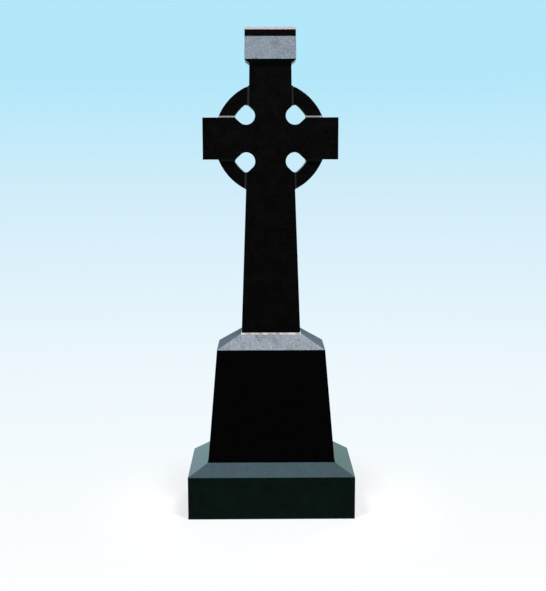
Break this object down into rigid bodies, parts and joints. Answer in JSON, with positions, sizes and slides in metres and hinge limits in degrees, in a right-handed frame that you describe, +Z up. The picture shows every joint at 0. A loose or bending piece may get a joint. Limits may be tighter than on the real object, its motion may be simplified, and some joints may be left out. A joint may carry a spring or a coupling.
{
  "type": "celtic cross headstone",
  "caption": "Polished black granite Celtic cross with a pierced, sunk ring and a roofed cap, on a tapered die and a weathered base.",
  "frame": {"origin": "middle of the base's underside, on the ground", "axes": "+Z up; the front faces -Y; +X runs to the viewer's right along the arms"},
  "size_m": [0.762, 0.457, 2.2156],
  "materials": {
    "base_granite": "polished",
    "die_granite": "polished",
    "cross_granite": "polished"
  },
  "bodies": {
    "root": {"base": "base_granite", "die": "die_granite", "cross": "cross_granite"}
  },
  "joints": []
}
